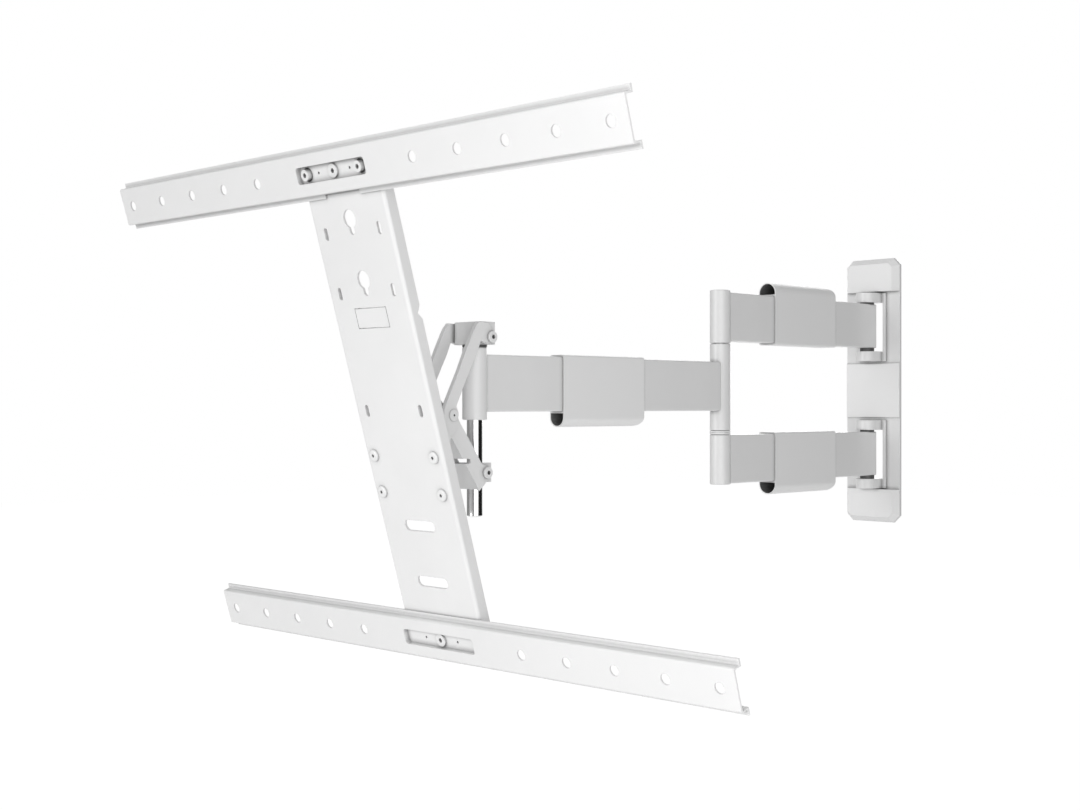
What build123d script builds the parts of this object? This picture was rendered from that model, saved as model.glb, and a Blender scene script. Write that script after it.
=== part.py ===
from build123d import *
import math
import os

# Swivel television wall mount: a folding arm with three upright swivels and a scissor tilt head.
# It is modelled as photographed, stretched straight out from the wall and tilted down.
# Millimetres. The origin is the middle of the wall plate's back face, where the wall is.
# +X is to the right of someone facing the wall, +Y points into the wall, +Z is up.

os.makedirs("parts", exist_ok=True)

# General fits
running_clearance = 0.05
seat_gap = 0.1
weld_gap = 0.05
swivel_gap = 0.5
washer_gap = 0.25

# Wall plate and its covers
plate_width = 70.0
plate_height = 300.0
plate_thickness = 3.0
plate_corner = 8.0
screw_hole_radius = 4.5
screw_spacing_x = 40.0
screw_from_end = 19.0
cap_inner_edge = 112.5
cap_depth = 8.0
cap_slope = 6.0
cap_wall = 2.0
cover_height = 62.0
cover_depth = 1.6
cover_edge = 0.6

# Pivot brackets on the wall plate
pivot_standoff = 15.8
ear_width = 25.0
ear_thickness = 11.0
ear_gap_below = 4.0
ear_gap_above = 2.0
window_width = 28.0
strip_width = 3.8
strip_depth = 2.5
wall_pin_radius = 5.0
pin_recess = 0.8
wall_washer_radius = 8.0

# Arm tubes
arm_height = 49.5
rear_arm_thickness = 18.0
forearm_thickness = 14.0
tube_wall = 2.5
tube_corner = 1.6
upper_arm_z = 73.0
lower_arm_z = -71.75
forearm_z = 2.2
rear_arm_length = 268.2
forearm_length = 338.0
arm_end_past_pivot = 5.0
forearm_corner = 3.5

# Elbow column
elbow_radius = 10.5
elbow_pin_radius = 6.0
hub_edge = 0.7
hub_end_wall = 3.0
upper_hub_above = 2.2
upper_hub_below = 2.3
lower_hub_above = 0.3
lower_hub_below = 0.9
elbow_washer_thickness = 1.6
elbow_washer_count = 2

# Cable sleeves
sleeve_length = 110.0
sleeve_wall = 1.7
sleeve_arch_wall = 1.2
sleeve_channel_height = 14.2
sleeve_corner = 9.0
sleeve_bend = 2.2
rear_sleeve_from_elbow = 79.5
forearm_sleeve_from_head = 101.0

# Head column, shaft and blocks
column_radius = 10.75
column_bottom = -29.5
column_top = 33.0
shaft_radius = 6.85
shaft_bottom = -112.9
shaft_chamfer = 1.2
column_washer_thickness = 1.8
block_width = 32.6
block_depth = 19.0
block_height = 19.5
block_edge = 1.0
slider_width = 24.2
slider_depth = 18.0
slider_height = 16.5
slider_clearance = 0.45

# Tilt scissor, measured between pivot centres
tilt_deg = 16.45
tilt_link_angle_deg = 32.885
top_pivot_z = 41.3
tilt_link_upper = 79.2
tilt_link_lower = 47.67
support_link_lower = 65.36
pivot_behind_plate = 8.0
pivot_along_plate = -47.87
side_gap = 0.2
slider_side_gap = 0.8
link_side_gap = 1.6
tilt_link_thickness = 4.1
support_link_thickness = 2.5
pivot_bolt_radius = 4.0
bolt_head_radius = 5.0
bolt_head_height = 2.5
bolt_socket_radius = 2.0
bolt_socket_depth = 4.0
bolt_reach = 6.0
rivet_head_height = 0.9
plate_rod_radius = 2.8
guide_rod_radius = 2.8
guide_rod_end = 1.4
guide_slot_clearance = 0.75
guide_travel_down = 6.0
guide_travel_up = 25.0
guide_wall = 2.5

# Screen plate
screen_plate_width = 97.0
plate_end_past_rail = 13.0
screen_plate_depth = 11.0
screen_sheet = 2.0
screen_bend = 3.0
notch_along = 78.6
notch_width = 11.5
notch_depth = 3.6
hole_step = 50.0
keyhole_radius = 7.6
keyhole_rise = 10.0
keyhole_seat_radius = 3.1
side_slot_x = 34.0
side_slot_length = 10.5
side_slot_width = 4.4
cross_slot_length = 38.0
cross_slot_width = 9.4
tab_width = 39.0
tab_height = 16.1
tab_gap = 0.5
bracket_screw_x = 38.0
bracket_screw_half_step = 16.0
bracket_screw_along = -55.0
bracket_screw_radius = 2.5
bracket_head_radius = 5.2
bracket_head_height = 2.2
bracket_head_dome = 1.6
bracket_socket_radius = 1.5
bracket_socket_depth = 2.0
bracket_sheet = 3.0
bracket_edge = 7.0
bracket_end = 8.0
bracket_lug_wall = 4.5

# Rails for the screen: rows of holes in the usual 600 by 400 pattern
rail_length = 632.0
rail_spacing = 400.0
rail_hole_spacing = 600.0
rail_hole_radius = 4.5
rail_holes_per_side = 5
rail_web = 34.0
rail_overall = 42.8
rail_depth = 8.5
rail_sheet = 1.5
rail_bend = 1.4
pocket_length = 87.5
pocket_width = 13.6
pocket_corner = 2.5
pocket_depth = 4.3
pocket_dot_x = 20.0
pocket_dot_radius = 1.1
lip_gap_width = 44.0
rail_screw_radius = 2.0
rail_centre_screw_radius = 3.0
rail_centre_head_radius = 5.6
rail_side_head_radius = 4.6
rail_side_head_room = 1.2
rail_centre_head_height = 1.8
rail_side_head_sink = 0.4
rail_socket_radius = 2.1
rail_socket_depth = 2.6
rail_nut_height = 3.0
rail_nut_share = 2.2
rail_thread_end = 1.5

# Heights and distances that follow from the sizes above
half_arm = arm_height / 2
wall_pivot_y = -pivot_standoff
elbow_y = wall_pivot_y - rear_arm_length
head_y = elbow_y - forearm_length
screen_plate_length = rail_spacing + 2 * plate_end_past_rail
upper_gap = (upper_arm_z - half_arm - ear_gap_below, upper_arm_z + half_arm + ear_gap_above)
lower_gap = (lower_arm_z - half_arm - ear_gap_below, lower_arm_z + half_arm + ear_gap_above)


def across(y, z=0.0, upside_down=False):
    """Upright plane square to the arms: sketch Y is up, and it extrudes towards the screen."""
    side = -1 if upside_down else 1
    return Plane(origin=(0, y, z), x_dir=(side, 0, 0), z_dir=(0, -1, 0))


def save(builder, name):
    """Label a finished piece and write it."""
    builder.part.label = name
    export_step(builder.part, f"parts/{name}.step")


def window(gap):
    """Cut the opening behind an arm from the current sketch."""
    with Locations((0, (gap[0] + gap[1]) / 2)):
        Rectangle(window_width, gap[1] - gap[0], mode=Mode.SUBTRACT)


# Wall plate: flat steel with cut corners, a window behind each arm and four holes for wall screws
with BuildPart() as wall_plate:
    with BuildSketch(across(0)) as plate_outline:
        Rectangle(plate_width, plate_height)
        chamfer(plate_outline.vertices(), plate_corner)
        window(upper_gap)
        window(lower_gap)
        with GridLocations(screw_spacing_x, plate_height - 2 * screw_from_end, 2, 2):
            Circle(screw_hole_radius, mode=Mode.SUBTRACT)
    extrude(amount=plate_thickness)
save(wall_plate, "wall_plate")


# End caps: moulded covers with three sloping borders that hide the wall screws
def cap_form(inset, depth):
    """Block with sloping outer sides, from the middle of the plate to its upper end."""
    reach = plate_height / 2 - inset
    with BuildSketch(across(-plate_thickness)) as foot:
        with Locations((0, reach / 2)):
            Rectangle(plate_width - 2 * inset, reach)
        chamfer(foot.vertices().group_by(Axis.Y)[-1], plate_corner)
    slope = math.degrees(math.atan(cap_slope / cap_depth))
    extrude(foot.sketch, amount=depth, taper=slope)


with BuildPart() as cap_hollow:
    cap_form(cap_wall, cap_depth - cap_wall)
    split(bisect_by=Plane.XY.offset(cap_inner_edge + cap_wall), keep=Keep.TOP)

with BuildPart() as top_cap:
    cap_form(0, cap_depth)
    split(bisect_by=Plane.XY.offset(cap_inner_edge), keep=Keep.TOP)
    add(cap_hollow.part, mode=Mode.SUBTRACT)
save(top_cap, "top_cap")

with BuildPart() as bottom_cap:
    mirror(top_cap.part, about=Plane.XY)
save(bottom_cap, "bottom_cap")

# Centre cover: thin moulded panel between the two pivot brackets
with BuildPart() as centre_cover:
    with BuildSketch(across(-plate_thickness)):
        Rectangle(plate_width, cover_height)
    extrude(amount=cover_depth)
    chamfer(centre_cover.faces().sort_by(Axis.Y)[0].edges(), cover_edge)
save(centre_cover, "centre_cover")

# Wall pivots: a cast bracket with two round-nosed ears, a bush, a pin and washers for each arm
wall_pivots = {"upper": (upper_gap, upper_arm_z), "lower": (lower_gap, lower_arm_z)}
for name, (gap, arm_z) in wall_pivots.items():
    ear_foot = gap[0] - ear_thickness
    ear_head = gap[1] + ear_thickness
    with BuildPart() as pivot_bracket:
        with BuildSketch(across(-plate_thickness)):
            with Locations((0, (ear_foot + ear_head) / 2)):
                Rectangle(window_width + 2 * strip_width, ear_head - ear_foot)
            window(gap)
        extrude(amount=strip_depth)
        for z in (ear_foot, gap[1]):
            with BuildSketch(Plane.XY.offset(z)):
                with Locations((0, (wall_pivot_y - plate_thickness) / 2)):
                    Rectangle(ear_width, pivot_standoff - plate_thickness)
                with Locations((0, wall_pivot_y)):
                    Circle(ear_width / 2)
                    Circle(wall_pin_radius + running_clearance, mode=Mode.SUBTRACT)
            extrude(amount=ear_thickness)
    save(pivot_bracket, f"{name}_pivot_bracket")

    with BuildPart() as wall_pin:
        with BuildSketch(Plane.XY.offset(ear_foot + pin_recess)):
            with Locations((0, wall_pivot_y)):
                Circle(wall_pin_radius)
        extrude(amount=ear_head - ear_foot - 2 * pin_recess)
    save(wall_pin, f"{name}_wall_pin")

    with BuildPart() as wall_bush:
        bush_height = arm_height - 2 * tube_wall - 2 * seat_gap
        with BuildSketch(Plane.XY.offset(arm_z - bush_height / 2)):
            with Locations((0, wall_pivot_y)):
                Circle(rear_arm_thickness / 2 - tube_wall - seat_gap)
                Circle(wall_pin_radius + running_clearance, mode=Mode.SUBTRACT)
        extrude(amount=bush_height)
    save(wall_bush, f"{name}_wall_bush")

    with BuildPart() as wall_washers:
        rests = ((gap[0], ear_gap_below), (arm_z + half_arm, ear_gap_above))
        for foot, room in rests:
            with BuildSketch(Plane.XY.offset(foot + seat_gap)):
                with Locations((0, wall_pivot_y)):
                    Circle(wall_washer_radius)
                    Circle(wall_pin_radius + running_clearance, mode=Mode.SUBTRACT)
            extrude(amount=room - 2 * seat_gap)
    save(wall_washers, f"{name}_wall_washers")


# Arm tubes: rectangular steel tube, coped to the round hub that it is welded to
def tube_profile(thickness):
    """Rounded box section of an arm tube, in the current sketch."""
    RectangleRounded(thickness, arm_height, tube_corner)
    Rectangle(thickness - 2 * tube_wall, arm_height - 2 * tube_wall, mode=Mode.SUBTRACT)


def cope(y, z, radius):
    """Cut the end of the current tube to fit round an upright hub."""
    with Locations((0, y, z)):
        Cylinder(radius + weld_gap, arm_height + 2 * tube_wall, mode=Mode.SUBTRACT)


def round_corner(y, z, side, radius, half_width):
    """Round the wall-side corner of the current arm or sleeve: side is 1 for the upper, -1 for the lower."""
    with BuildSketch(Plane.YZ) as waste:
        with Locations((y, z - side * radius / 2)):
            Rectangle(2 * radius, radius)
        with Locations((y - radius, z - side * radius)):
            Circle(radius, mode=Mode.SUBTRACT)
    extrude(waste.sketch, amount=half_width, both=True, mode=Mode.SUBTRACT)


for name, arm_z in (("upper", upper_arm_z), ("lower", lower_arm_z)):
    with BuildPart() as rear_arm:
        with BuildSketch(across(wall_pivot_y + arm_end_past_pivot, arm_z)):
            tube_profile(rear_arm_thickness)
        extrude(amount=rear_arm_length + arm_end_past_pivot)
        cope(elbow_y, arm_z, elbow_radius)
        with Locations((0, wall_pivot_y, arm_z)):
            Cylinder(wall_pin_radius + running_clearance, arm_height, mode=Mode.SUBTRACT)
    save(rear_arm, f"{name}_rear_arm")

with BuildPart() as forearm:
    with BuildSketch(across(elbow_y, forearm_z)):
        tube_profile(forearm_thickness)
    extrude(amount=forearm_length)
    cope(head_y, forearm_z, column_radius)
    side_end_y = elbow_y - math.sqrt((elbow_radius + weld_gap) ** 2 - (forearm_thickness / 2) ** 2)
    for side in (-1, 1):
        round_corner(side_end_y, forearm_z + side * half_arm, side, forearm_corner, forearm_thickness / 2)
    cope(elbow_y, forearm_z, elbow_radius)
save(forearm, "forearm")

# Elbow column: two capped hubs on the rear arms and the forearm's hub between them, on one pin
upper_hub_top = upper_arm_z + half_arm + upper_hub_above
upper_hub_foot = upper_arm_z - half_arm - upper_hub_below
lower_hub_top = lower_arm_z + half_arm + lower_hub_above
lower_hub_foot = lower_arm_z - half_arm - lower_hub_below
elbow_washer_foot = lower_hub_top + washer_gap
elbow_washer_step = elbow_washer_thickness + washer_gap
forearm_hub_foot = elbow_washer_foot + elbow_washer_count * elbow_washer_step
forearm_hub_top = upper_hub_foot - swivel_gap


def hub(y, foot, top, outer_radius, bore_radius, bore_foot, bore_top):
    """Turned upright hub with eased ends and a bore between the two given heights."""
    with Locations((0, y, (foot + top) / 2)):
        Cylinder(outer_radius, top - foot)
    ends = [edge for edge in faces().filter_by(Plane.XY).edges()]
    chamfer(ends, hub_edge)
    with Locations((0, y, (bore_foot + bore_top) / 2)):
        Cylinder(bore_radius, bore_top - bore_foot, mode=Mode.SUBTRACT)


elbow_bore_radius = elbow_pin_radius + running_clearance
with BuildPart() as upper_elbow_hub:
    bore_top = upper_hub_top - hub_end_wall
    hub(elbow_y, upper_hub_foot, upper_hub_top, elbow_radius, elbow_bore_radius, upper_hub_foot, bore_top)
save(upper_elbow_hub, "upper_elbow_hub")

with BuildPart() as lower_elbow_hub:
    bore_foot = lower_hub_foot + hub_end_wall
    hub(elbow_y, lower_hub_foot, lower_hub_top, elbow_radius, elbow_bore_radius, bore_foot, lower_hub_top)
save(lower_elbow_hub, "lower_elbow_hub")

with BuildPart() as forearm_hub:
    hub(
        elbow_y,
        forearm_hub_foot,
        forearm_hub_top,
        elbow_radius,
        elbow_bore_radius,
        forearm_hub_foot,
        forearm_hub_top,
    )
save(forearm_hub, "forearm_hub")

with BuildPart() as elbow_pin:
    with BuildSketch(Plane.XY.offset(bore_foot + seat_gap)):
        with Locations((0, elbow_y)):
            Circle(elbow_pin_radius)
    extrude(amount=bore_top - bore_foot - 2 * seat_gap)
save(elbow_pin, "elbow_pin")

with BuildPart() as elbow_washers:
    for number in range(elbow_washer_count):
        with BuildSketch(Plane.XY.offset(elbow_washer_foot + number * elbow_washer_step)):
            with Locations((0, elbow_y)):
                Circle(elbow_radius)
                Circle(elbow_bore_radius, mode=Mode.SUBTRACT)
        extrude(amount=elbow_washer_thickness)
save(elbow_washers, "elbow_washers")


# Cable sleeves: moulded wraps with a pocket for the tube and an arched channel for the cables
def arch(half_width, foot, spring, mode=Mode.ADD):
    """Face with a flat foot, straight sides up to the spring line and a half-round head."""
    with BuildLine() as rim:
        Polyline((half_width, spring), (half_width, foot), (-half_width, foot), (-half_width, spring))
        ThreePointArc((-half_width, spring), (0, spring + half_width), (half_width, spring))
    make_face(rim.edges(), mode=mode)


def cable_sleeve(arm_thickness, arm_z, wall_end_y, channel_below):
    """One sleeve whose end nearest the wall is at wall_end_y."""
    outer_half = arm_thickness / 2 + seat_gap + sleeve_wall
    closed_side = -half_arm - seat_gap - sleeve_wall
    channel_foot = half_arm + seat_gap + sleeve_wall
    spring = half_arm + sleeve_channel_height - outer_half
    crown = half_arm + sleeve_channel_height
    side = -1 if channel_below else 1
    corner_z = arm_z + side * crown
    with BuildSketch(across(wall_end_y, arm_z, upside_down=channel_below)) as section:
        arch(outer_half, closed_side, spring)
        fillet(section.vertices().group_by(Axis.Y)[0], sleeve_bend)
        Rectangle(arm_thickness + 2 * seat_gap, arm_height + 2 * seat_gap, mode=Mode.SUBTRACT)
        arch(outer_half - sleeve_arch_wall, channel_foot, spring, mode=Mode.SUBTRACT)
    extrude(section.sketch, amount=sleeve_length)
    round_corner(wall_end_y, corner_z, side, sleeve_corner, outer_half)


rear_sleeve_y = elbow_y + rear_sleeve_from_elbow + sleeve_length
forearm_sleeve_y = head_y + forearm_sleeve_from_head + sleeve_length
with BuildPart() as upper_arm_sleeve:
    cable_sleeve(rear_arm_thickness, upper_arm_z, rear_sleeve_y, False)
save(upper_arm_sleeve, "upper_arm_sleeve")

with BuildPart() as lower_arm_sleeve:
    cable_sleeve(rear_arm_thickness, lower_arm_z, rear_sleeve_y, True)
save(lower_arm_sleeve, "lower_arm_sleeve")

with BuildPart() as forearm_sleeve:
    cable_sleeve(forearm_thickness, forearm_z, forearm_sleeve_y, True)
save(forearm_sleeve, "forearm_sleeve")

# Head column: the forearm's outer hub, with the chromed tilt shaft turning inside it
shaft_bore_radius = shaft_radius + running_clearance
with BuildPart() as head_column:
    hub(head_y, column_bottom, column_top, column_radius, shaft_bore_radius, column_bottom, column_top)
save(head_column, "head_column")

block_foot = column_top + column_washer_thickness + 2 * seat_gap
with BuildPart() as column_washer:
    with BuildSketch(Plane.XY.offset(column_top + seat_gap)):
        with Locations((0, head_y)):
            Circle(column_radius)
            Circle(shaft_bore_radius, mode=Mode.SUBTRACT)
    extrude(amount=column_washer_thickness)
save(column_washer, "column_washer")

shaft_top = block_foot + block_height - hub_end_wall
with BuildPart() as tilt_shaft:
    with BuildSketch(Plane.XY.offset(shaft_bottom)):
        with Locations((0, head_y)):
            Circle(shaft_radius)
    extrude(amount=shaft_top - shaft_bottom)
    chamfer(tilt_shaft.edges().sort_by(Axis.Z)[0], shaft_chamfer)
save(tilt_shaft, "tilt_shaft")

# Scissor pivots. T carries the tilt links, S rides on the shaft, K is the crossing,
# P holds the screen plate and G slides in the plate's guide slots.
# Side points are (forward from the shaft, height).
tilt = math.radians(tilt_deg)
link_angle = math.radians(tilt_link_angle_deg)
link_along = (math.sin(link_angle), -math.cos(link_angle))
link_front = (math.cos(link_angle), math.sin(link_angle))


def travel(start, direction, distance):
    """Point at a distance from another in the side view."""
    return (start[0] + direction[0] * distance, start[1] + direction[1] * distance)


pivot_t = (0.0, top_pivot_z)
pivot_k = travel(pivot_t, link_along, tilt_link_upper)
pivot_p = travel(pivot_t, link_along, tilt_link_upper + tilt_link_lower)
pivot_s = (0.0, pivot_k[1] - math.sqrt(support_link_lower**2 - pivot_k[0] ** 2))
support_angle = math.atan2(pivot_k[0] - pivot_s[0], pivot_k[1] - pivot_s[1])
support_along = (math.sin(support_angle), math.cos(support_angle))
support_front = (math.cos(support_angle), -math.sin(support_angle))

# Screen plate directions in the side view, and the middle of its front face
plate_up = (math.sin(tilt), math.cos(tilt))
plate_out = (math.cos(tilt), -math.sin(tilt))
plate_middle = travel(travel(pivot_p, plate_out, pivot_behind_plate), plate_up, -pivot_along_plate)
pivot_line = travel(plate_middle, plate_out, -pivot_behind_plate)
guide_turn = plate_out[0] * support_along[0] + plate_out[1] * support_along[1]
guide_gap = plate_out[0] * (pivot_line[0] - pivot_s[0]) + plate_out[1] * (pivot_line[1] - pivot_s[1])
pivot_g = travel(pivot_s, support_along, guide_gap / guide_turn)
from_middle = (pivot_g[0] - plate_middle[0], pivot_g[1] - plate_middle[1])
guide_along_plate = plate_up[0] * from_middle[0] + plate_up[1] * from_middle[1]


def side_view(x):
    """Plane of the side view at a given X: sketch X is forward from the shaft, sketch Y is up."""
    return Plane(origin=(x, head_y, 0), x_dir=(0, -1, 0), z_dir=(-1, 0, 0))


def side_disc(x, point, radius, thickness, mode=Mode.ADD):
    """Disc on a pivot, from x towards the middle of the mount."""
    with BuildSketch(side_view(x)) as disc:
        with Locations(point):
            Circle(radius)
    extrude(disc.sketch, amount=thickness, mode=mode)


# Sideways stations of the two pairs of links, from the middle outwards
support_inner_x = slider_width / 2 + slider_side_gap
support_outer_x = support_inner_x + support_link_thickness
link_inner_x = support_outer_x + link_side_gap
link_outer_x = link_inner_x + tilt_link_thickness
lug_inner_x = link_outer_x + side_gap
lug_outer_x = lug_inner_x + bracket_sheet
hinge_bore_radius = pivot_bolt_radius + running_clearance


# Top block, slider block and their shoulder bolts
def head_block(width, depth, height, foot, bore_radius, bore_height):
    """Block with eased edges on the shaft, bored from below."""
    with BuildSketch(Plane.XY.offset(foot)) as outline:
        with Locations((0, head_y)):
            Rectangle(width, depth)
        chamfer(outline.vertices(), block_edge)
    extrude(outline.sketch, amount=height)
    chamfer(faces().sort_by(Axis.Z)[-1].edges(), block_edge / 2)
    with BuildSketch(Plane.XY.offset(foot)) as bore:
        with Locations((0, head_y)):
            Circle(bore_radius)
    extrude(bore.sketch, amount=bore_height, mode=Mode.SUBTRACT)


slider_foot = pivot_s[1] - slider_height / 2
socket_radius = pivot_bolt_radius + seat_gap
with BuildPart() as top_block:
    shaft_seat = shaft_top - block_foot + seat_gap
    head_block(block_width, block_depth, block_height, block_foot, shaft_bore_radius, shaft_seat)
    side_disc(block_width / 2, pivot_t, socket_radius, bolt_reach + seat_gap, Mode.SUBTRACT)
    side_disc(-block_width / 2, pivot_t, socket_radius, -bolt_reach - seat_gap, Mode.SUBTRACT)
save(top_block, "top_block")

with BuildPart() as slider_block:
    slider_bore = shaft_radius + slider_clearance
    head_block(slider_width, slider_depth, slider_height, slider_foot, slider_bore, slider_height)
    side_disc(slider_width / 2, pivot_s, socket_radius, slider_width, Mode.SUBTRACT)
save(slider_block, "slider_block")


def shoulder_bolts(point, link_face, tip):
    """Mirrored pair of bolts whose heads bear on a link and whose tips end at the given X."""
    side_disc(link_face + side_gap + bolt_head_height, point, bolt_head_radius, bolt_head_height)
    chamfer(faces().sort_by(Axis.X)[-1].edges(), bolt_head_height / 4)
    side_disc(link_face + side_gap, point, pivot_bolt_radius, link_face + side_gap - tip)
    rim = link_face + side_gap + bolt_head_height
    with BuildSketch(side_view(rim)) as socket:
        with Locations(point):
            RegularPolygon(bolt_socket_radius, 6)
    extrude(socket.sketch, amount=bolt_socket_depth, mode=Mode.SUBTRACT)
    mirror(about=Plane.YZ)


with BuildPart() as top_pivot_bolts:
    shoulder_bolts(pivot_t, link_outer_x, block_width / 2 - bolt_reach)
save(top_pivot_bolts, "top_pivot_bolts")

slider_bolt_tip = shaft_radius + slider_clearance + side_gap
with BuildPart() as slider_bolts:
    shoulder_bolts(pivot_s, support_outer_x, slider_bolt_tip)
save(slider_bolts, "slider_bolts")

# Tilt links: two thick bars with a broad hooked head, bent at the knee.
# Their outline is drawn along the line from T to P, and forward from it.
link_reach = tilt_link_upper + tilt_link_lower
link_head_radius = 6.2
link_knee_radius = 6.0
link_nose_radius = 5.4
link_half_width = 8.0
link_outline = (
    (-7.9, 9.9),
    (-2.6, 18.8),
    (3.0, 19.7),
    (9.0, 19.4),
    (24.0, 18.0),
    (46.0, 14.9),
    (tilt_link_upper - 9.0, 12.7),
    (tilt_link_upper + 1.0, 11.6),
    (tilt_link_upper + 7.0, link_half_width),
    (link_reach - 14.0, link_half_width),
    (link_reach, link_nose_radius),
    (link_reach, -link_nose_radius),
    (link_reach - 14.0, -link_half_width),
    (tilt_link_upper + 17.0, -link_half_width),
    (tilt_link_upper + 7.0, -8.9),
    (tilt_link_upper, -link_knee_radius),
    (tilt_link_upper - 4.7, -3.4),
    (tilt_link_upper - 8.0, 1.7),
    (56.3, 3.3),
    (33.5, 5.3),
    (22.0, 6.2),
    (9.5, 8.3),
    (7.3, 0.5),
    (4.5, -4.3),
    (-6.0, -1.6),
    (-6.7, 5.0),
)


def link_point(along, front):
    """Side view point measured along and forward from the line of the tilt links."""
    return travel(travel(pivot_t, link_along, along), link_front, front)


with BuildPart() as tilt_link_right:
    with BuildSketch(side_view(link_outer_x)):
        Polygon(*[link_point(*point) for point in link_outline], align=None)
        with Locations(pivot_t):
            Circle(link_head_radius)
            Circle(hinge_bore_radius, mode=Mode.SUBTRACT)
        with Locations(pivot_p):
            Circle(link_nose_radius)
            Circle(plate_rod_radius + running_clearance, mode=Mode.SUBTRACT)
        with Locations(pivot_k):
            Circle(pivot_bolt_radius + seat_gap, mode=Mode.SUBTRACT)
    extrude(amount=tilt_link_thickness)
save(tilt_link_right, "tilt_link_right")

with BuildPart() as tilt_link_left:
    mirror(tilt_link_right.part, about=Plane.YZ)
save(tilt_link_left, "tilt_link_left")

# Knee rivets: they pin the tilt links to the flanges of the support link
with BuildPart() as knee_rivets:
    rivet_face = link_outer_x + seat_gap + rivet_head_height
    side_disc(rivet_face, pivot_k, bolt_head_radius, rivet_head_height)
    chamfer(faces().sort_by(Axis.X)[-1].edges(), rivet_head_height / 2)
    side_disc(rivet_face, pivot_k, pivot_bolt_radius, rivet_face - support_inner_x)
    side_disc(rivet_face, pivot_k, bolt_socket_radius / 2, bolt_socket_depth, Mode.SUBTRACT)
    mirror(about=Plane.YZ)
save(knee_rivets, "knee_rivets")

# Support link: one folded sheet, two flanges joined by a web below them, with a relief slot.
# Its outline is drawn along the line from S to G, and forward from it.
support_reach = math.hypot(pivot_g[0] - pivot_s[0], pivot_g[1] - pivot_s[1])
web_foot = -5.8
web_foot_front = 16.6
web_relief = -4.6
web_head = 50.0
web_head_front = 10.2
support_half = 6.5
support_eye_radius = 5.8
support_nose_radius = 4.8
slot_height = 4.4
slot_along = 21.5
slot_front = 9.1
support_outline = (
    (web_foot, web_foot_front),
    (web_head, web_head_front),
    (support_link_lower, support_half + 1.0),
    (support_reach - 16.0, support_half),
    (support_reach, support_nose_radius),
    (support_reach, -support_nose_radius),
    (support_reach - 16.0, -support_nose_radius),
    (support_reach - 45.0, -2.0),
    (support_link_lower + 11.6, -1.4),
    (support_link_lower + 6.0, -5.4),
    (support_link_lower - 5.0, -support_half),
    (51.3, -4.8),
    (26.6, -2.7),
    (9.6, -0.6),
    (3.0, -4.9),
    (-5.8, 1.0),
)


def support_point(along, front):
    """Side view point measured along and forward from the line of the support link."""
    return travel(travel(pivot_s, support_along, along), support_front, front)


with BuildPart() as support_link:
    with BuildSketch(side_view(support_outer_x)):
        Polygon(*[support_point(*point) for point in support_outline], align=None)
        with Locations(pivot_s):
            Circle(support_eye_radius)
        with Locations(pivot_g):
            Circle(support_nose_radius)
    extrude(amount=2 * support_outer_x)
    with BuildSketch(side_view(support_inner_x)):
        room_margin = 40.0
        web_inside_foot = web_foot_front - support_link_thickness
        web_inside_head = web_head_front - support_link_thickness
        room = (
            (-room_margin, -room_margin),
            (-room_margin, room_margin),
            (web_relief, room_margin),
            (web_relief, web_inside_foot),
            (web_head, web_inside_head),
            (web_head, room_margin),
            (support_reach + room_margin, room_margin),
            (support_reach + room_margin, -room_margin),
        )
        Polygon(*[support_point(*point) for point in room], align=None)
    extrude(amount=2 * support_inner_x, mode=Mode.SUBTRACT)
    with BuildSketch(side_view(support_outer_x)):
        slot_end = support_point(slot_along, slot_front)
        with Locations((slot_end[0] + web_head / 2, slot_end[1])):
            SlotCenterToCenter(web_head, slot_height)
    extrude(amount=2 * support_outer_x, mode=Mode.SUBTRACT)
    side_disc(support_outer_x, pivot_s, hinge_bore_radius, 2 * support_outer_x, Mode.SUBTRACT)
    side_disc(support_outer_x, pivot_k, hinge_bore_radius, 2 * support_outer_x, Mode.SUBTRACT)
    side_disc(support_outer_x, pivot_g, guide_rod_radius + seat_gap, 2 * support_outer_x, Mode.SUBTRACT)
save(support_link, "support_link")

# Plain rods: the guide rod at G turns with the support link, the pivot rod at P with the plate
guide_inner_x = support_outer_x + side_gap
guide_rod_half = guide_inner_x + guide_wall + guide_rod_end
with BuildPart() as guide_rod:
    side_disc(guide_rod_half, pivot_g, guide_rod_radius, 2 * guide_rod_half)
save(guide_rod, "guide_rod")

with BuildPart() as plate_pivot_rod:
    side_disc(lug_outer_x, pivot_p, plate_rod_radius, 2 * lug_outer_x)
save(plate_pivot_rod, "plate_pivot_rod")

# Screen plate frame: along is measured up the plate from its middle, out is towards the screen
screen_up = (0, -plate_up[0], plate_up[1])
screen_out = (0, -plate_out[0], plate_out[1])


def screen_spot(x, along, out):
    """World position of a spot given in the screen plate's frame."""
    point = travel(travel(plate_middle, plate_up, along), plate_out, out)
    return (x, head_y - point[0], point[1])


def screen_face(along=0.0, out=0.0):
    """Plane parallel to the screen plate: sketch Y is up the plate, and it extrudes outwards."""
    return Plane(origin=screen_spot(0, along, out), x_dir=(1, 0, 0), z_dir=screen_out)


def screen_side(x, along=0.0):
    """Plane of the plate's side profile: sketch X is up the plate, sketch Y is out of it."""
    return Plane(origin=screen_spot(x, along, 0), x_dir=screen_up, z_dir=(1, 0, 0))


def screen_cut(shape):
    """Cut a sketch on the plate's face right through the sheet."""
    extrude(shape.sketch, amount=screen_plate_depth / 2, both=True, mode=Mode.SUBTRACT)


rail_places = {"upper": rail_spacing / 2, "lower": -rail_spacing / 2}

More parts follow.
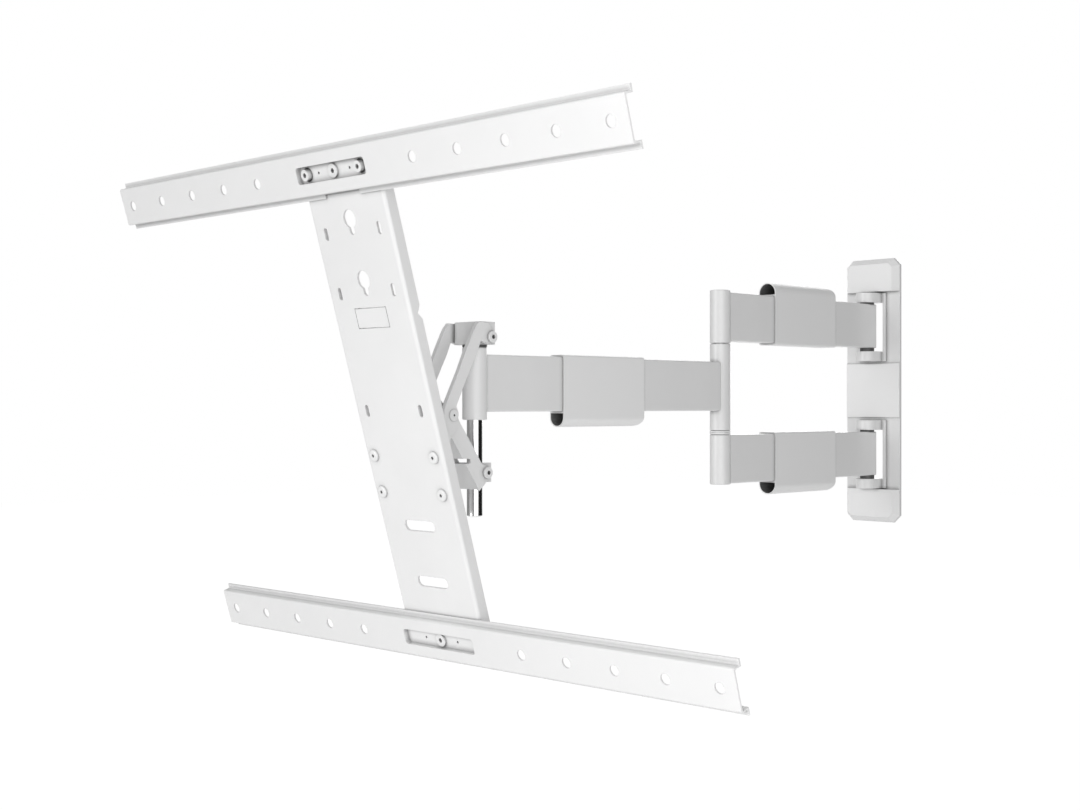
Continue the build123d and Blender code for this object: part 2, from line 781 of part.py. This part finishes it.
# Screen plate: one folded channel with keyholes, adjustment slots and a notch in each flange
with BuildPart() as screen_plate:
    section_foot = screen_spot(0, -screen_plate_length / 2, 0)
    with BuildSketch(Plane(origin=section_foot, x_dir=(1, 0, 0), z_dir=screen_up)) as channel:
        Rectangle(screen_plate_width, screen_plate_depth, align=(Align.CENTER, Align.MIN))
        fillet(channel.vertices().group_by(Axis.Y)[0], screen_bend)
        with BuildSketch(mode=Mode.SUBTRACT) as channel_inside:
            with Locations((0, screen_sheet)):
                inside_width = screen_plate_width - 2 * screen_sheet
                Rectangle(inside_width, screen_plate_depth, align=(Align.CENTER, Align.MIN))
            fillet(channel_inside.vertices().group_by(Axis.Y)[0], screen_bend - screen_sheet)
    extrude(amount=screen_plate_length)
    with BuildSketch(screen_face()) as openings:
        for along in (2 * hole_step, 3 * hole_step):
            with Locations((0, along + keyhole_rise)):
                Circle(keyhole_radius)
            with Locations((0, along + keyhole_rise / 2)):
                SlotCenterToCenter(keyhole_rise, 2 * keyhole_seat_radius, rotation=90)
        for along in (0, 2 * hole_step, 3 * hole_step):
            with Locations((-side_slot_x, along), (side_slot_x, along)):
                SlotOverall(side_slot_length, side_slot_width, rotation=90)
        for along in (-2 * hole_step, -3 * hole_step, rail_places["lower"]):
            with Locations((0, along)):
                SlotOverall(cross_slot_length, cross_slot_width)
        with Locations((0, rail_places["upper"])):
            Circle(rail_centre_screw_radius + seat_gap)
        with Locations((-side_slot_x, rail_places["upper"]), (side_slot_x, rail_places["upper"])):
            Circle(rail_screw_radius + seat_gap)
        with Locations((0, bracket_screw_along)):
            with GridLocations(2 * bracket_screw_x, 2 * bracket_screw_half_step, 2, 2):
                Circle(bracket_screw_radius + seat_gap)
        with Locations((0, notch_along)):
            Rectangle(tab_width + 2 * tab_gap, tab_height + 2 * tab_gap)
    screen_cut(openings)
    with BuildSketch(screen_side(-screen_plate_width / 2, notch_along)):
        notch_half = notch_width / 2
        notch_root = (0, notch_depth - screen_plate_depth)
        mouth = ((-notch_half, -screen_plate_depth), (notch_half, -screen_plate_depth))
        Polygon(*mouth, notch_root, align=None)
    extrude(amount=screen_plate_width, mode=Mode.SUBTRACT)
save(screen_plate, "screen_plate")

# Pivot brackets of the screen plate: bent angles, each with a screwed foot and a round-ended lug
lug_radius = plate_rod_radius + bracket_lug_wall
foot_width = bracket_screw_x + bracket_edge - lug_inner_x
foot_length = 2 * (bracket_screw_half_step + bracket_end)
with BuildPart() as plate_bracket_right:
    with BuildSketch(screen_face(bracket_screw_along, -screen_sheet - bracket_sheet)) as bracket_foot:
        with Locations((lug_inner_x, 0)):
            Rectangle(foot_width, foot_length, align=(Align.MIN, Align.CENTER))
        chamfer(bracket_foot.vertices().group_by(Axis.X)[-1], bracket_sheet)
        for along in (-bracket_screw_half_step, bracket_screw_half_step):
            with Locations((bracket_screw_x, along)):
                Circle(bracket_screw_radius + seat_gap, mode=Mode.SUBTRACT)
    extrude(amount=bracket_sheet)
    with BuildSketch(screen_side(lug_inner_x, pivot_along_plate)):
        lug_height = pivot_behind_plate - screen_sheet
        with Locations((0, -screen_sheet - lug_height / 2)):
            Rectangle(2 * lug_radius, lug_height)
        with Locations((0, -pivot_behind_plate)):
            Circle(lug_radius)
            Circle(plate_rod_radius + seat_gap, mode=Mode.SUBTRACT)
        with Locations((0, lug_radius - screen_sheet)):
            Rectangle(2 * lug_radius, 2 * lug_radius, mode=Mode.SUBTRACT)
    extrude(amount=bracket_sheet)
save(plate_bracket_right, "plate_bracket_right")

with BuildPart() as plate_bracket_left:
    mirror(plate_bracket_right.part, about=Plane.YZ)
save(plate_bracket_left, "plate_bracket_left")

with BuildPart() as bracket_screws:
    with BuildSketch(screen_face(bracket_screw_along)) as heads:
        with GridLocations(2 * bracket_screw_x, 2 * bracket_screw_half_step, 2, 2):
            Circle(bracket_head_radius)
    extrude(amount=bracket_head_height)
    fillet(faces().sort_by(Axis(screen_spot(0, 0, 0), screen_out))[-4:].edges(), bracket_head_dome)
    with BuildSketch(screen_face(bracket_screw_along)) as shanks:
        with GridLocations(2 * bracket_screw_x, 2 * bracket_screw_half_step, 2, 2):
            Circle(bracket_screw_radius)
    extrude(amount=-screen_sheet - 2 * bracket_sheet)
    with BuildSketch(screen_face(bracket_screw_along, bracket_head_height)) as sockets:
        with GridLocations(2 * bracket_screw_x, 2 * bracket_screw_half_step, 2, 2):
            RegularPolygon(bracket_socket_radius, 6)
    extrude(amount=-bracket_socket_depth, mode=Mode.SUBTRACT)
save(bracket_screws, "bracket_screws")

# Slide guide: a folded bracket whose tab fills the plate's window and whose lugs are slotted
guide_slot_half = guide_rod_radius + guide_slot_clearance
guide_depth = pivot_behind_plate + guide_slot_half + guide_wall
guide_foot = guide_along_plate - guide_travel_down - guide_slot_half - guide_wall
guide_head = guide_along_plate + guide_travel_up + guide_slot_half + guide_wall
with BuildPart() as slide_guide:
    with BuildSketch(screen_face(notch_along, -screen_sheet)):
        Rectangle(tab_width, tab_height)
    extrude(amount=screen_sheet)
    for lug_x in (guide_inner_x, -guide_inner_x - guide_wall):
        with BuildSketch(screen_side(lug_x)) as guide_lug:
            with Locations(((guide_foot + guide_head) / 2, -(screen_sheet + guide_depth) / 2)):
                Rectangle(guide_head - guide_foot, guide_depth - screen_sheet)
            fillet(guide_lug.vertices().group_by(Axis.Y)[0], guide_wall)
            slot_middle = guide_along_plate + (guide_travel_up - guide_travel_down) / 2
            with Locations((slot_middle, -pivot_behind_plate)):
                travel_length = guide_travel_up + guide_travel_down
                SlotCenterToCenter(travel_length, 2 * guide_slot_half, mode=Mode.SUBTRACT)
        extrude(amount=guide_wall)
save(slide_guide, "slide_guide")


# Rails: hat-section steel with a row of holes each side and a pressed pocket for the screws
def rail(along, lip_side, side_holes):
    """One rail; its inner lip is gapped at the middle where lip_side is 1 or -1."""
    with BuildSketch(screen_side(-rail_length / 2, along)) as hat:
        with Locations((0, rail_sheet / 2)):
            Rectangle(rail_overall, rail_sheet)
        with Locations((0, rail_depth / 2)):
            Rectangle(rail_web, rail_depth)
        roots = hat.vertices().filter_by(lambda spot: abs(abs(spot.X) - rail_web / 2) < 0.01)
        fillet(roots.filter_by(lambda spot: spot.Y > rail_sheet / 2), rail_bend)
        with Locations((0, (rail_depth - rail_sheet) / 2)):
            Rectangle(rail_web - 2 * rail_sheet, rail_depth - rail_sheet, mode=Mode.SUBTRACT)
    extrude(hat.sketch, amount=rail_length)
    with BuildSketch(screen_face(along, rail_depth)) as pocket_wall:
        wall = 2 * rail_sheet
        RectangleRounded(pocket_length + wall, pocket_width + wall, pocket_corner + rail_sheet)
    extrude(pocket_wall.sketch, amount=-pocket_depth - rail_sheet)
    with BuildSketch(screen_face(along, rail_depth)) as pocket:
        RectangleRounded(pocket_length, pocket_width, pocket_corner)
    extrude(pocket.sketch, amount=-pocket_depth, mode=Mode.SUBTRACT)
    with BuildSketch(screen_face(along, rail_depth)) as holes:
        for number in range(rail_holes_per_side):
            x = rail_hole_spacing / 2 - number * hole_step
            with Locations((x, 0), (-x, 0)):
                Circle(rail_hole_radius)
        Circle(rail_centre_screw_radius + seat_gap)
        with Locations((-pocket_dot_x, 0), (pocket_dot_x, 0)):
            Circle(pocket_dot_radius)
        if side_holes:
            with Locations((-side_slot_x, 0), (side_slot_x, 0)):
                Circle(rail_side_head_radius + rail_side_head_room)
    extrude(holes.sketch, amount=-rail_depth, mode=Mode.SUBTRACT)
    if lip_side:
        with BuildSketch(screen_face(along)) as lip_gap:
            lip_width = (rail_overall - rail_web) / 2
            with Locations((0, lip_side * (rail_web + lip_width) / 2)):
                Rectangle(lip_gap_width, lip_width)
        extrude(lip_gap.sketch, amount=rail_sheet, mode=Mode.SUBTRACT)


with BuildPart() as upper_rail:
    rail(rail_places["upper"], -1, True)
save(upper_rail, "upper_rail")

with BuildPart() as lower_rail:
    rail(rail_places["lower"], 0, False)
save(lower_rail, "lower_rail")

# Rail screws and nuts: the middle screw bears on the pocket floor, the side ones on the plate
centre_face = rail_depth - pocket_depth + rail_centre_head_height
side_face = rail_depth - rail_side_head_sink
screw_end = -screen_sheet - rail_nut_height - rail_thread_end


def rail_screw(x, along, head_foot, head_face, head_radius, shank_radius):
    """Socket-head screw through a rail and the screen plate."""
    with BuildSketch(screen_face(along, head_foot)) as head:
        with Locations((x, 0)):
            Circle(head_radius)
    extrude(head.sketch, amount=head_face - head_foot)
    with BuildSketch(screen_face(along, head_foot)) as shank:
        with Locations((x, 0)):
            Circle(shank_radius)
    extrude(shank.sketch, amount=screw_end - head_foot)
    with BuildSketch(screen_face(along, head_face)) as socket:
        with Locations((x, 0)):
            RegularPolygon(rail_socket_radius, 6)
    extrude(socket.sketch, amount=-rail_socket_depth, mode=Mode.SUBTRACT)


pocket_floor = rail_depth - pocket_depth
with BuildPart() as upper_rail_screws:
    upper_along = rail_places["upper"]
    rail_screw(0, upper_along, pocket_floor, centre_face, rail_centre_head_radius, rail_centre_screw_radius)
    for x in (-side_slot_x, side_slot_x):
        rail_screw(x, upper_along, 0, side_face, rail_side_head_radius, rail_screw_radius)
save(upper_rail_screws, "upper_rail_screws")

with BuildPart() as lower_rail_screw:
    lower_along = rail_places["lower"]
    rail_screw(0, lower_along, pocket_floor, centre_face, rail_centre_head_radius, rail_centre_screw_radius)
save(lower_rail_screw, "lower_rail_screw")

nut_spots = (
    (0, rail_places["upper"], rail_centre_screw_radius),
    (-side_slot_x, rail_places["upper"], rail_screw_radius),
    (side_slot_x, rail_places["upper"], rail_screw_radius),
    (0, rail_places["lower"], rail_centre_screw_radius),
)
with BuildPart() as rail_nuts:
    for x, along, thread_radius in nut_spots:
        with BuildSketch(screen_face(along, -screen_sheet)):
            with Locations((x, 0)):
                RegularPolygon(rail_nut_share * thread_radius, 6)
                Circle(thread_radius + seat_gap / 2, mode=Mode.SUBTRACT)
        extrude(amount=-rail_nut_height)
save(rail_nuts, "rail_nuts")
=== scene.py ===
import bpy
import bmesh
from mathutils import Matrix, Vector

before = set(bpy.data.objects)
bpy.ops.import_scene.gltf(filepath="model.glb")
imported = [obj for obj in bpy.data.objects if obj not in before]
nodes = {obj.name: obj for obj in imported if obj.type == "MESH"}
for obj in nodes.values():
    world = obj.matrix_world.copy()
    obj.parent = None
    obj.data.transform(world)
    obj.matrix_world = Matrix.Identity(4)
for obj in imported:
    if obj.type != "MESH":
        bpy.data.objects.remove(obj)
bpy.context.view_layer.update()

# Viewpoint of the photograph: level with the arms, to the right of the screen side.
# The upright lines stay upright, so the lens looks straight along the floor.
camera_data = bpy.data.cameras.new("view_from_screen_side")
camera_data.sensor_width = 36.0
camera_data.lens = 50.9
camera = bpy.data.objects.new("view_from_screen_side", camera_data)
bpy.context.scene.collection.objects.link(camera)
camera.location = (0.9707, -1.5101, -0.0167)
looking = Vector((-0.7083, 0.7059, 0.0))
camera.rotation_euler = looking.to_track_quat("-Z", "Y").to_euler()
bpy.context.scene.camera = camera
bpy.context.scene.view_settings.view_transform = "Standard"


# Welded and folded steel: wall plate, cast pivot brackets, tubes, hubs, links, screen plate and rails.
# All are blasted, sprayed with white polyester powder and baked, after forming and welding.
def linear(hex_colour):
    """Turn an sRGB hex colour into the linear colour that a shader takes."""
    channels = []
    for start in (1, 3, 5):
        value = int(hex_colour[start:start + 2], 16) / 255
        channels.append(value / 12.92 if value <= 0.04045 else ((value + 0.055) / 1.055) ** 2.4)
    return (*channels, 1.0)


def add(tree, kind, settings=None, **links):
    """Add a node, give its settings or sockets their values, and link its sockets."""
    node = tree.nodes.new(kind)
    for name, value in (settings or {}).items():
        if isinstance(name, str) and hasattr(node, name):
            setattr(node, name, value)
        else:
            node.inputs[name].default_value = value
    for name, source in links.items():
        spot = int(name[1:]) if name[1:].isdigit() else name.replace("_", " ")
        tree.links.new(source, node.inputs[spot])
    return node


def new_finish(name):
    """Start a material with its shader, and coordinates in millimetres on the piece."""
    material = bpy.data.materials.new(name)
    material.use_nodes = True
    tree = material.node_tree
    shader = tree.nodes["Principled BSDF"]
    spot = add(tree, "ShaderNodeTexCoord")
    millimetres = add(tree, "ShaderNodeMapping", {"Scale": (1000, 1000, 1000)},
                      Vector=spot.outputs["Object"])
    return material, tree, shader, millimetres.outputs["Vector"]


def coat(material, *names):
    """Give CAD nodes a finish."""
    for name in names:
        slots = nodes[name].data.materials
        slots.clear()
        slots.append(material)


def paint_seam_shade(tree, shader):
    """Paint shade into a skin near its seams and corners, and return the socket for the skin's own colour.
    """
    # Painted shade greys the mount within 5 mm of a seam or corner, where little light reaches.
    reach = 0.005
    shelter = add(tree, "ShaderNodeAmbientOcclusion", {"samples": 8, "Distance": reach})
    seam_shaded = add(tree, "ShaderNodeMix", {"data_type": "RGBA", 6: linear("#646464")},
                 i0=shelter.outputs["AO"])
    tree.links.new(seam_shaded.outputs[2], shader.inputs["Base Color"])
    return seam_shaded.inputs[7]


def powder_coat(name, light, dark):
    """Baked polyester powder: a soft satin skin with the shallow dimples of orange peel."""
    material, tree, shader, spot = new_finish(name)
    shader.inputs["Roughness"].default_value = 0.28
    shader.inputs["IOR"].default_value = 1.5
    # Film thickness drifts over about 45 mm, which shifts the white by a shade.
    drift = add(tree, "ShaderNodeTexNoise", {"Scale": 1 / 45, "Detail": 2.0}, Vector=spot)
    shade = add(tree, "ShaderNodeMix", {"data_type": "RGBA", 6: linear(light), 7: linear(dark)},
                i0=drift.outputs["Fac"])
    # The drifting white takes painted shade near its seams and corners.
    tree.links.new(shade.outputs[2], paint_seam_shade(tree, shader))
    # The peel is about 1.4 mm from dimple to dimple and a few hundredths deep.
    peel = add(tree, "ShaderNodeTexNoise", {"Scale": 1 / 1.4, "Detail": 1.0}, Vector=spot)
    # Powder pulls back from corners, so each edge is round by about half a millimetre.
    edge = add(tree, "ShaderNodeBevel", {"samples": 4, "Radius": 0.0005})
    skin = add(tree, "ShaderNodeBump", {"Strength": 0.25, "Distance": 0.00003},
               Height=peel.outputs["Fac"], Normal=edge.outputs["Normal"])
    tree.links.new(skin.outputs["Normal"], shader.inputs["Normal"])
    return material


satin_white = powder_coat("white_powder_coat_on_steel", "#EEEEEE", "#E8E8E8")
coat(satin_white, "wall_plate", "upper_pivot_bracket", "lower_pivot_bracket", "upper_rear_arm",
     "lower_rear_arm", "upper_elbow_hub", "lower_elbow_hub", "forearm", "forearm_hub", "head_column",
     "top_block", "slider_block", "tilt_link_right", "tilt_link_left", "support_link", "screen_plate",
     "slide_guide", "plate_bracket_right", "plate_bracket_left", "upper_rail", "lower_rail",
     "top_pivot_bolts", "slider_bolts", "knee_rivets", "bracket_screws", "upper_rail_screws",
     "lower_rail_screw")


# End caps and centre cover: injection moulded ABS, clipped over the wall plate.
# The mould's fine spark texture leaves them a touch duller than the painted steel.
def moulded(name, colour, roughness):
    """Plastic straight from the mould: even colour with painted shade in its seams, fine grain, soft edges.
    """
    material, tree, shader, spot = new_finish(name)
    shader.inputs["Roughness"].default_value = roughness
    shader.inputs["IOR"].default_value = 1.54
    # The colour takes painted shade near its seams and corners.
    own_colour = paint_seam_shade(tree, shader)
    own_colour.default_value = linear(colour)
    # Spark texture has a grain of about 0.6 mm, drawn a little coarse so that it shows. The mould's
    # edges are rounded by as much.
    grain = add(tree, "ShaderNodeTexNoise", {"Scale": 1 / 0.6, "Detail": 3.0}, Vector=spot)
    edge = add(tree, "ShaderNodeBevel", {"samples": 4, "Radius": 0.0006})
    skin = add(tree, "ShaderNodeBump", {"Strength": 0.2, "Distance": 0.00002},
               Height=grain.outputs["Fac"], Normal=edge.outputs["Normal"])
    tree.links.new(skin.outputs["Normal"], shader.inputs["Normal"])
    return material, tree, own_colour, spot


cover_abs = moulded("white_moulded_abs", "#F0F0F0", roughness=0.45)[0]
coat(cover_abs, "top_cap", "bottom_cap", "centre_cover")


# Cable sleeves: thin moulded wraps pushed on to the tubes, with an arched channel along one side. The
# outside is smooth white ABS, and painted shade greys the inside of the channel.
def sleeve_finish(name, middle_z, side, inner_half, channel_foot, spring):
    """White outside, with painted shade in the channel. The sizes are the sleeve's section, in millimetres.

    middle_z is the tube's middle, and side is 1 where the channel is above the tube and -1 where it is
    below. The channel rises straight from its foot to the spring and is round above. It is inner_half
    wide to each side of the middle.
    """
    material, tree, own_colour, spot = moulded(name, "#F2F2F2", roughness=0.36)
    # The painted shade reaches this far into the wall, so that its edge can't show on the channel's skin.
    overlap = 0.2
    axes = add(tree, "ShaderNodeSeparateXYZ", Vector=spot)
    across = add(tree, "ShaderNodeMath", {"operation": "ABSOLUTE"}, i0=axes.outputs["X"])
    height = add(tree, "ShaderNodeMath", {"operation": "MULTIPLY_ADD", 1: side, 2: -side * middle_z},
                 i0=axes.outputs["Z"])
    above_foot = add(tree, "ShaderNodeMath", {"operation": "GREATER_THAN", 1: channel_foot - overlap},
                     i0=height.outputs[0])
    above_spring = add(tree, "ShaderNodeMath", {"operation": "SUBTRACT", 1: spring}, i0=height.outputs[0])
    rise = add(tree, "ShaderNodeMath", {"operation": "MAXIMUM", 1: 0.0}, i0=above_spring.outputs[0])
    rise_squared = add(tree, "ShaderNodeMath", {"operation": "POWER", 1: 2.0}, i0=rise.outputs[0])
    across_squared = add(tree, "ShaderNodeMath", {"operation": "POWER", 1: 2.0}, i0=across.outputs[0])
    reach_squared = add(tree, "ShaderNodeMath", {"operation": "ADD"}, i0=rise_squared.outputs[0],
                        i1=across_squared.outputs[0])
    within = add(tree, "ShaderNodeMath", {"operation": "LESS_THAN", 1: (inner_half + overlap) ** 2},
                 i0=reach_squared.outputs[0])
    channel_shade_mask = add(tree, "ShaderNodeMath", {"operation": "MULTIPLY"}, i0=above_foot.outputs[0],
                 i1=within.outputs[0])
    # Painted shade: the channel's inside is drawn mid grey, as it looks in its own shadow.
    shade = add(tree, "ShaderNodeMix", {"data_type": "RGBA", 6: linear("#F2F2F2"), 7: linear("#787878")},
                i0=channel_shade_mask.outputs[0])
    tree.links.new(shade.outputs[2], own_colour)
    return material


upper_sleeve_abs = sleeve_finish("upper_sleeve_abs", middle_z=73.0, side=1.0, inner_half=9.6,
                                 channel_foot=26.55, spring=28.15)
coat(upper_sleeve_abs, "upper_arm_sleeve")
lower_sleeve_abs = sleeve_finish("lower_sleeve_abs", middle_z=-71.75, side=-1.0, inner_half=9.6,
                                 channel_foot=26.55, spring=28.15)
coat(lower_sleeve_abs, "lower_arm_sleeve")
forearm_sleeve_abs = sleeve_finish("forearm_sleeve_abs", middle_z=2.2, side=-1.0, inner_half=7.6,
                                   channel_foot=26.55, spring=30.15)
coat(forearm_sleeve_abs, "forearm_sleeve")


# Tilt shaft: hard chromed steel bar that turns in the head column and guides the slider block.
# It is ground round and round, so it mirrors the room in upright stripes.
def ground_steel(name, colour, roughness, step):
    """Ground or turned metal, with fine rings round its axis."""
    material, tree, shader, spot = new_finish(name)
    shader.inputs["Metallic"].default_value = 1.0
    shader.inputs["Base Color"].default_value = linear(colour)
    shader.inputs["Roughness"].default_value = roughness
    # Grinding leaves rings a fraction of a millimetre apart. They are drawn 0.31 of a step apart, which
    # is 1 to 2 mm, so that they show.
    rings = add(tree, "ShaderNodeTexWave", {"bands_direction": "Z", "Scale": 1 / step, "Distortion": 0.6,
                                            "Detail": 2.0}, Vector=spot)
    skin = add(tree, "ShaderNodeBump", {"Strength": 0.12, "Distance": 0.00001}, Height=rings.outputs["Fac"])
    tree.links.new(skin.outputs["Normal"], shader.inputs["Normal"])
    return material


hard_chrome = ground_steel("hard_chrome_ground", "#E4E4E4", roughness=0.12, step=6.0)
coat(hard_chrome, "tilt_shaft")

# Pins, rods and nuts: steel turned from bar and left bright.
# Most of them are hidden in their bores, so little more than their ends shows.
bright_steel = ground_steel("bright_turned_steel", "#B9B9B9", roughness=0.3, step=4.0)
coat(bright_steel, "upper_wall_pin", "lower_wall_pin", "elbow_pin", "guide_rod", "plate_pivot_rod",
     "rail_nuts")

# Bearing washers and bushes: sheet acetal, waxy and off-white, which looks grey in the shade between
# two steel faces. The washers at the wall and under the top block are dark nylon.
acetal = moulded("grey_acetal_sheet", "#F2F2F2", roughness=0.4)[0]
coat(acetal, "upper_wall_bush", "lower_wall_bush", "elbow_washers")
nylon = moulded("black_nylon_sheet", "#4A4A4A", roughness=0.4)[0]
coat(nylon, "column_washer", "upper_wall_washers", "lower_wall_washers")

# Floor and light of a plain photo studio: white all round, a large far light on the screen side,
# and a near one to the right that lifts the arms' sides and fades towards the wall.
floor_half_width = 6.0
floor_level = -0.5
floor_mesh = bpy.data.meshes.new("studio_floor")
floor_form = bmesh.new()
bmesh.ops.create_grid(floor_form, x_segments=1, y_segments=1, size=floor_half_width)
bmesh.ops.translate(floor_form, verts=floor_form.verts, vec=(0.0, 0.0, floor_level))
floor_form.to_mesh(floor_mesh)
floor_form.free()
floor = bpy.data.objects.new("studio_floor", floor_mesh)
bpy.context.scene.collection.objects.link(floor)


def seen_directly(tree):
    """1 where a ray comes from the lens, a reflection or glass, otherwise 0."""
    path = add(tree, "ShaderNodeLightPath")
    first = add(tree, "ShaderNodeMath", {"operation": "MAXIMUM"}, i0=path.outputs["Is Camera Ray"],
                i1=path.outputs["Is Glossy Ray"])
    second = add(tree, "ShaderNodeMath", {"operation": "MAXIMUM"}, i0=first.outputs[0],
                 i1=path.outputs["Is Transmission Ray"])
    return second.outputs[0]


# The lens sees the paper as evenly lit, whatever shade falls on it.
evenly_lit_share = 0.9
paper_brightness = 1.08
paper = bpy.data.materials.new("white_studio_paper")
paper.use_nodes = True
paper_tree = paper.node_tree
paper_tree.nodes.clear()
paper_skin = add(paper_tree, "ShaderNodeBsdfDiffuse", {"Color": linear("#F4F4F4")})
paper_glow = add(paper_tree, "ShaderNodeEmission",
                 {"Color": (1.0, 1.0, 1.0, 1.0), "Strength": paper_brightness})
share = add(paper_tree, "ShaderNodeMath", {"operation": "MULTIPLY", 1: evenly_lit_share},
            i0=seen_directly(paper_tree))
paper_mix = add(paper_tree, "ShaderNodeMixShader", i0=share.outputs[0], i1=paper_skin.outputs["BSDF"],
                i2=paper_glow.outputs["Emission"])
add(paper_tree, "ShaderNodeOutputMaterial", Surface=paper_mix.outputs["Shader"])
floor_mesh.materials.append(paper)

# The studio looks white, but lights the mount only this share as much.
studio_share = 0.38
world = bpy.data.worlds.new("white_studio")
bpy.context.scene.world = world
world.use_nodes = True
world_tree = world.node_tree
world_tree.nodes.clear()
world_strength = add(world_tree, "ShaderNodeMath",
                     {"operation": "MULTIPLY_ADD", 1: 1.0 - studio_share, 2: studio_share},
                     i0=seen_directly(world_tree))
world_light = add(world_tree, "ShaderNodeBackground", {"Color": (1.0, 1.0, 1.0, 1.0)},
                  Strength=world_strength.outputs[0])
add(world_tree, "ShaderNodeOutputWorld", Surface=world_light.outputs["Background"])


def soft_light(name, place, target, size, power):
    """Square studio light aimed at a point."""
    data = bpy.data.lights.new(name, "AREA")
    data.size = size
    data.energy = power
    light = bpy.data.objects.new(name, data)
    bpy.context.scene.collection.objects.link(light)
    light.visible_camera = False
    light.location = place
    light.rotation_euler = (Vector(target) - Vector(place)).to_track_quat("-Z", "Y").to_euler()


soft_light("screen_side_light", (-1.0, -6.0, 0.8), (0.0, -0.6, 0.0), size=3.0, power=138.0)
soft_light("right_hand_light", (0.9, -1.1, 0.0), (0.0, -0.5, 0.0), size=1.0, power=4.8)
soft_light("wall_side_light", (-1.2, 2.4, 0.9), (0.0, -0.4, 0.0), size=2.0, power=25.0)


# Cloths hung round the studio, out of the picture.
# Only polished metal shows them, as the upright stripes on the tilt shaft.
def studio_cloth(name, place, half_width, colour):
    """Upright square cloth that faces the tilt shaft."""
    shaft_y = -0.622
    mesh = bpy.data.meshes.new(name)
    form = bmesh.new()
    bmesh.ops.create_grid(form, x_segments=1, y_segments=1, size=half_width)
    form.to_mesh(mesh)
    form.free()
    cloth = bpy.data.objects.new(name, mesh)
    bpy.context.scene.collection.objects.link(cloth)
    cloth.location = place
    away = Vector(place) - Vector((0.0, shaft_y, place[2]))
    cloth.rotation_euler = away.to_track_quat("-Z", "Y").to_euler()
    cloth.visible_camera = False
    cloth.visible_diffuse = False
    cloth.visible_transmission = False
    cloth.visible_shadow = False
    material = bpy.data.materials.new(name)
    material.use_nodes = True
    material.node_tree.nodes.clear()
    glow = add(material.node_tree, "ShaderNodeEmission", {"Color": linear(colour), "Strength": 1.0})
    add(material.node_tree, "ShaderNodeOutputMaterial", Surface=glow.outputs["Emission"])
    mesh.materials.append(material)


studio_cloth("black_cloth_behind_right", (0.95, 0.75, 0.0), half_width=1.5, colour="#202020")
studio_cloth("grey_cloth_left", (-1.6, -1.05, 0.0), half_width=1.6, colour="#909090")
